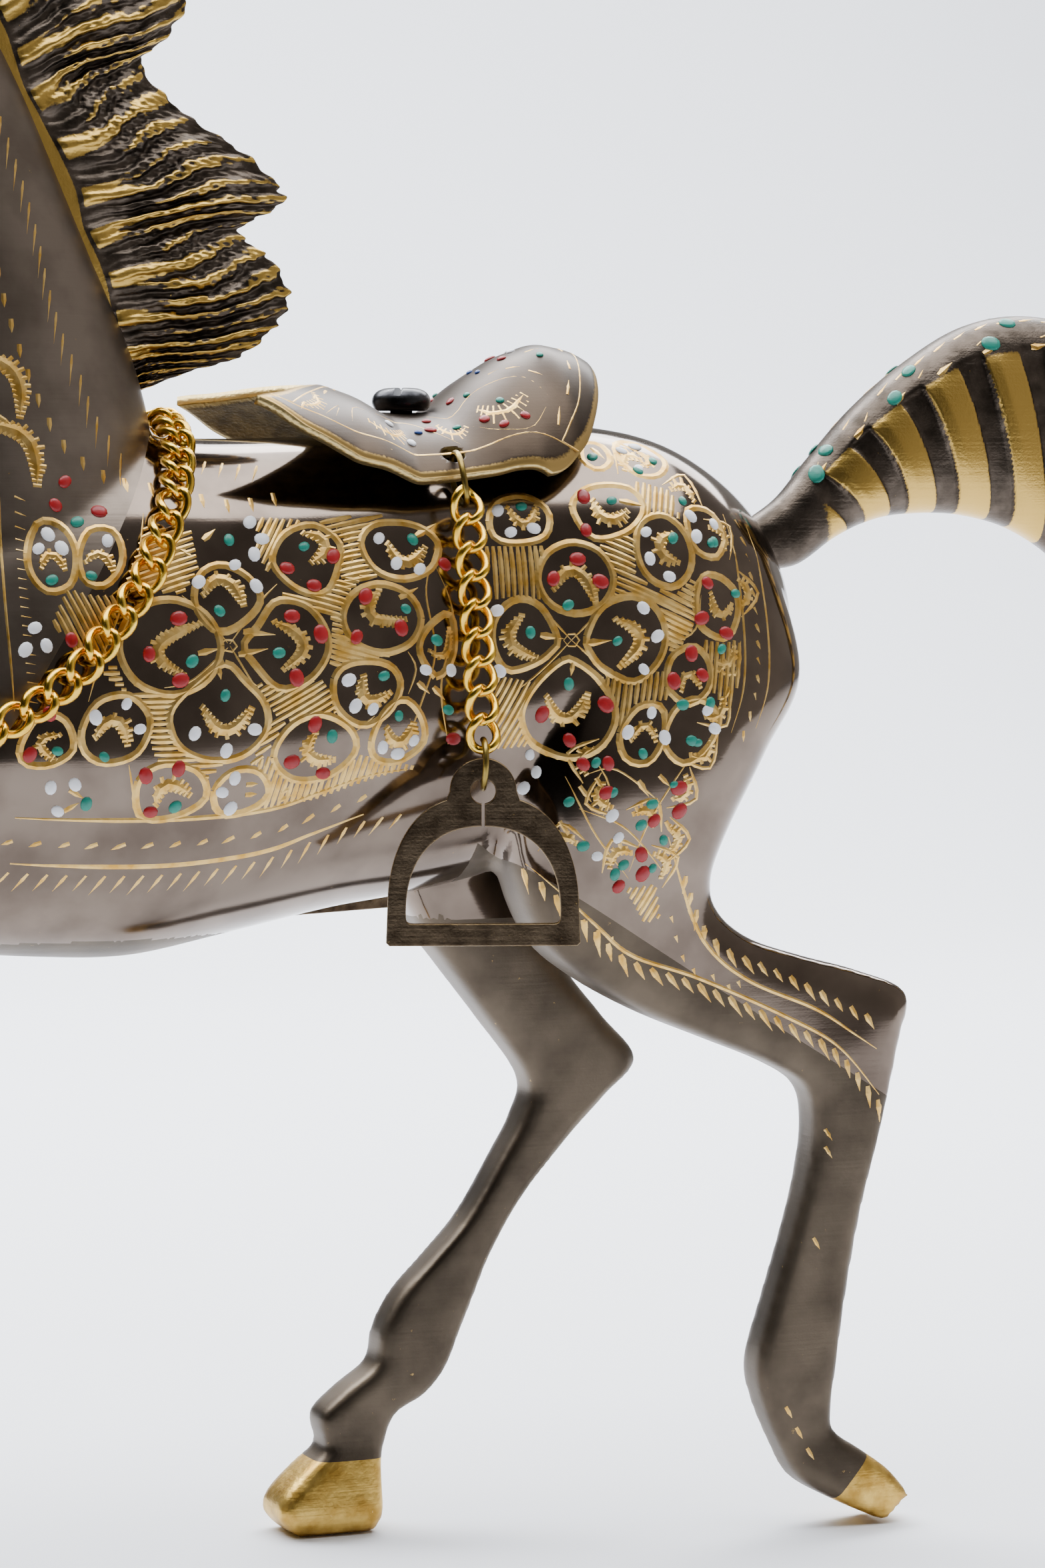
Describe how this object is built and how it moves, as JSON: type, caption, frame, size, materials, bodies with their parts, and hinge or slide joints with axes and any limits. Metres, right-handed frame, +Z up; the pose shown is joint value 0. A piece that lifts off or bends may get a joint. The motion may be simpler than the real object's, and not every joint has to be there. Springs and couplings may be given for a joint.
{
  "type": "brass horse sculpture",
  "caption": "Engraved brass prancing horse with flowing mane and arched tail, screwed-on saddle, neck chain and hanging stirrups, standing on its hooves.",
  "frame": {"origin": "on the ground, below the middle of the whole piece", "axes": "+Z up, the horse faces -X and its left side faces -Y"},
  "size_m": [0.1832, 0.0458, 0.1768],
  "materials": {
    "casting": "black-nickelled brass, polished to a dark mirror on the barrel and satin on the legs, with bare polished hooves",
    "locks": "cast locks, ridges ground to bare brass and hollows left black",
    "plate": "engraved brown-nickelled sheet with rubbed bare edges and a rough underside",
    "screw": "blackened slotted screw",
    "chain": "bright gold-coloured, polished",
    "wire": "dull drawn wire",
    "stirrup": "dark antique finish, rubbed at the edges",
    "engraving": "bright-cut strokes through the dark plating",
    "enamel": "glossy dots of red, white, green and blue enamel paint"
  },
  "bodies": {
    "root": {"horse": "casting", "mane": "locks", "tail": "locks", "saddle": "plate", "saddle_screw": "screw", "neck_chain": "chain", "saddle_hook_left": "wire", "stirrup_chain_left": "chain", "stirrup_hook_left": "wire", "stirrup_left": "stirrup", "saddle_hook_right": "wire", "stirrup_chain_right": "chain", "stirrup_hook_right": "wire", "stirrup_right": "stirrup"}
  },
  "joints": []
}
